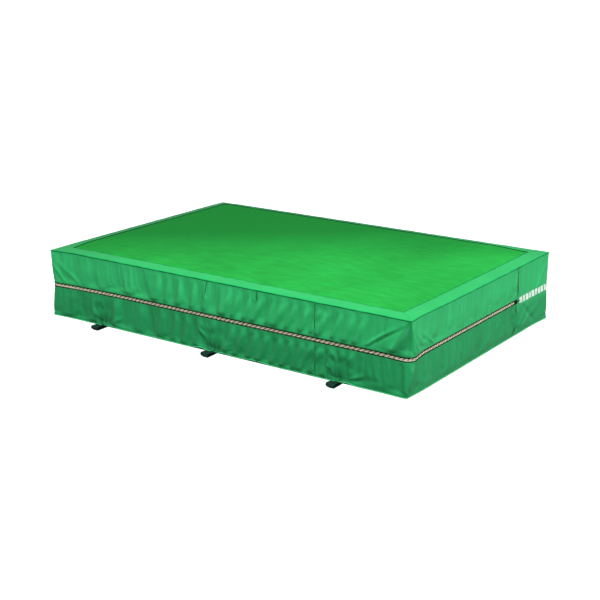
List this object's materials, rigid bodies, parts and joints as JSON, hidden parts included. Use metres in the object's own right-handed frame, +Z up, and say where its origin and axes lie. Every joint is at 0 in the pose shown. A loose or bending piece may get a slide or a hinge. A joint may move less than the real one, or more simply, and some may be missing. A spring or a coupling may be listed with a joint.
{
  "type": "foam landing mat",
  "caption": "Thick rectangular foam landing mat in a zipped fabric cover, with a mesh top, a cloth border and webbing carry loops along its long sides.",
  "frame": {"origin": "middle of the underside, on the floor", "axes": "+X along the long side to the right end, +Y from the front long side to the back one, +Z up"},
  "size_m": [3.0079, 2.224, 0.5],
  "materials": {
    "mesh": "matt",
    "border": "satin",
    "wall": "satin",
    "base": "matt",
    "tape": "matt",
    "teeth": "satin",
    "webbing": "matt",
    "zip_metal": "satin",
    "foam": "matt"
  },
  "bodies": {
    "mat": {"bottom_panel": "base", "bottom_seam_binding": "border", "lower_wall_right": "wall", "lower_wall_front_left": "wall", "rear_wall": "wall", "top_mesh_rear": "mesh", "back_border": "border", "left_border_rear": "border", "right_border_rear": "border", "zip_tape_lower": "tape", "zip_teeth_lower": "teeth", "zip_end_stop_left": "zip_metal", "zip_end_stop_right": "zip_metal", "front_left_loop_tail": "webbing", "front_middle_loop_tail": "webbing", "front_right_loop_tail": "webbing", "back_left_loop_tail": "webbing", "back_middle_loop_tail": "webbing", "back_right_loop_tail": "webbing", "foam_base_left": "foam", "foam_base_middle": "foam", "foam_base_right": "foam", "foam_core_left": "foam", "foam_core_right": "foam", "foam_topper": "foam"},
    "cover_flap": {"top_mesh_front": "mesh", "front_border": "border", "left_border_front": "border", "right_border_front": "border", "upper_wall_right": "wall", "upper_wall_front_left": "wall", "zip_tape_upper": "tape", "zip_teeth_upper": "teeth"},
    "zip_slider": {"zip_slider": "zip_metal"},
    "zip_pull": {"zip_pull": "zip_metal"},
    "front_left_carry_loop": {"front_left_carry_loop": "webbing"},
    "front_middle_carry_loop": {"front_middle_carry_loop": "webbing"},
    "front_right_carry_loop": {"front_right_carry_loop": "webbing"},
    "back_left_carry_loop": {"back_left_carry_loop": "webbing"},
    "back_middle_carry_loop": {"back_middle_carry_loop": "webbing"},
    "back_right_carry_loop": {"back_right_carry_loop": "webbing"}
  },
  "joints": [
    {"name": "cover_fold", "type": "hinge", "parent": "mat", "child": "cover_flap", "pos_m": [0, 0.49, 0.5], "axis": [-1, 0, 0], "range_deg": [0, 60]},
    {"name": "slider_travel", "type": "slide", "parent": "mat", "child": "zip_slider", "axis": [0, -1, 0], "range_m": [0, 1.25]},
    {"name": "pull_swing", "type": "hinge", "parent": "zip_slider", "child": "zip_pull", "pos_m": [1.5037, 0.47, 0.25], "axis": [0, 0, -1], "range_deg": [0, 170]},
    {"name": "front_left_carry_loop_lift", "type": "hinge", "parent": "mat", "child": "front_left_carry_loop", "pos_m": [-1, -1.007, 0.00535], "axis": [-1, 0, 0], "range_deg": [0, 80]},
    {"name": "front_middle_carry_loop_lift", "type": "hinge", "parent": "mat", "child": "front_middle_carry_loop", "pos_m": [0, -1.007, 0.00535], "axis": [-1, 0, 0], "range_deg": [0, 80]},
    {"name": "front_right_carry_loop_lift", "type": "hinge", "parent": "mat", "child": "front_right_carry_loop", "pos_m": [1, -1.007, 0.00535], "axis": [-1, 0, 0], "range_deg": [0, 80]},
    {"name": "back_left_carry_loop_lift", "type": "hinge", "parent": "mat", "child": "back_left_carry_loop", "pos_m": [-1, 1.007, 0.00535], "axis": [1, 0, 0], "range_deg": [0, 80]},
    {"name": "back_middle_carry_loop_lift", "type": "hinge", "parent": "mat", "child": "back_middle_carry_loop", "pos_m": [0, 1.007, 0.00535], "axis": [1, 0, 0], "range_deg": [0, 80]},
    {"name": "back_right_carry_loop_lift", "type": "hinge", "parent": "mat", "child": "back_right_carry_loop", "pos_m": [1, 1.007, 0.00535], "axis": [1, 0, 0], "range_deg": [0, 80]}
  ]
}
